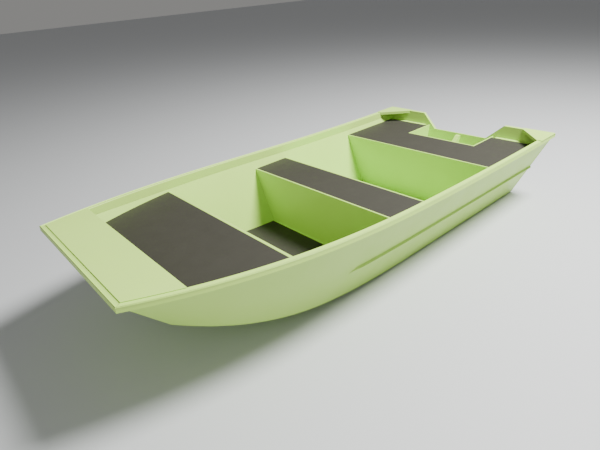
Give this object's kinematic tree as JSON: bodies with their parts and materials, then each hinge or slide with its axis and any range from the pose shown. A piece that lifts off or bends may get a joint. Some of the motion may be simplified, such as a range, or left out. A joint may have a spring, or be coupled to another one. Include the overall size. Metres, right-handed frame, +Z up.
{
  "type": "jon boat",
  "caption": "Flat-bottomed aluminium jon boat with a square raised bow, bench seats, a motor well notched into the transom, folded gunwales, spray rails and an expanding drain plug.",
  "frame": {"origin": "centre of the bounding box in plan, on the plane the keel and strakes stand on", "axes": "+X forward to the bow, +Y to port, +Z up"},
  "size_m": [3.66, 1.704, 0.7013],
  "materials": {
    "hull_paint": "satin",
    "board": "matte",
    "foam": "matte",
    "ply": "matte",
    "bare_aluminium": "satin",
    "plug_rubber": "matte",
    "plug_metal": "satin"
  },
  "bodies": {
    "hull": {"bottom_plate": "hull_paint", "side_plate_port": "hull_paint", "side_plate_starboard": "hull_paint", "bow_panel": "hull_paint", "transom_outer_skin": "hull_paint", "transom_core": "ply", "transom_inner_skin": "hull_paint", "transom_cap": "hull_paint", "chine_angle_port": "hull_paint", "chine_angle_starboard": "hull_paint", "gunwale_port": "hull_paint", "gunwale_starboard": "hull_paint", "gunwale_end_caps": "hull_paint", "bow_gunwale": "hull_paint", "bow_deck_plate": "hull_paint", "deck_beam": "hull_paint", "stern_knee_port": "hull_paint", "stern_knee_starboard": "hull_paint", "spray_rail_port": "hull_paint", "spray_rail_starboard": "hull_paint", "keel": "hull_paint", "strakes": "hull_paint", "floor_ribs": "hull_paint", "floor_board_forward": "board", "floor_trims": "hull_paint", "fore_bench_back": "hull_paint", "fore_bench_board": "board", "fore_bench_foam": "foam", "fore_bench_ledges": "hull_paint", "mid_bench_front": "hull_paint", "mid_bench_back": "hull_paint", "mid_bench_board": "board", "mid_bench_foam": "foam", "mid_bench_ledges": "hull_paint", "stern_bench_front": "hull_paint", "stern_bench_board": "board", "stern_bench_rims": "hull_paint", "stern_bench_ledges": "hull_paint", "stern_bench_foam": "foam", "stern_foam_port": "foam", "stern_foam_starboard": "foam", "well_front_wall": "hull_paint", "well_side_wall_port": "hull_paint", "well_side_wall_starboard": "hull_paint", "well_floor": "hull_paint", "transom_knee": "hull_paint", "drain_tube": "bare_aluminium", "drain_rivets": "bare_aluminium", "well_drain_tubes": "bare_aluminium"},
    "drain_plug": {"plug_rubber": "plug_rubber", "plug_stem": "plug_metal", "plug_washer": "plug_metal", "plug_pin": "plug_metal"},
    "drain_lever": {"plug_lever": "plug_metal"}
  },
  "joints": [
    {"name": "drain_plug_pull", "type": "slide", "parent": "hull", "child": "drain_plug", "axis": [-0.9811, 0, -0.1934], "range_m": [0, 0.045]},
    {"name": "drain_lever_turn", "type": "hinge", "parent": "drain_plug", "child": "drain_lever", "pos_m": [-1.74201, 0, 0.0389], "axis": [0, -1, 0], "range_deg": [0, 90]}
  ]
}
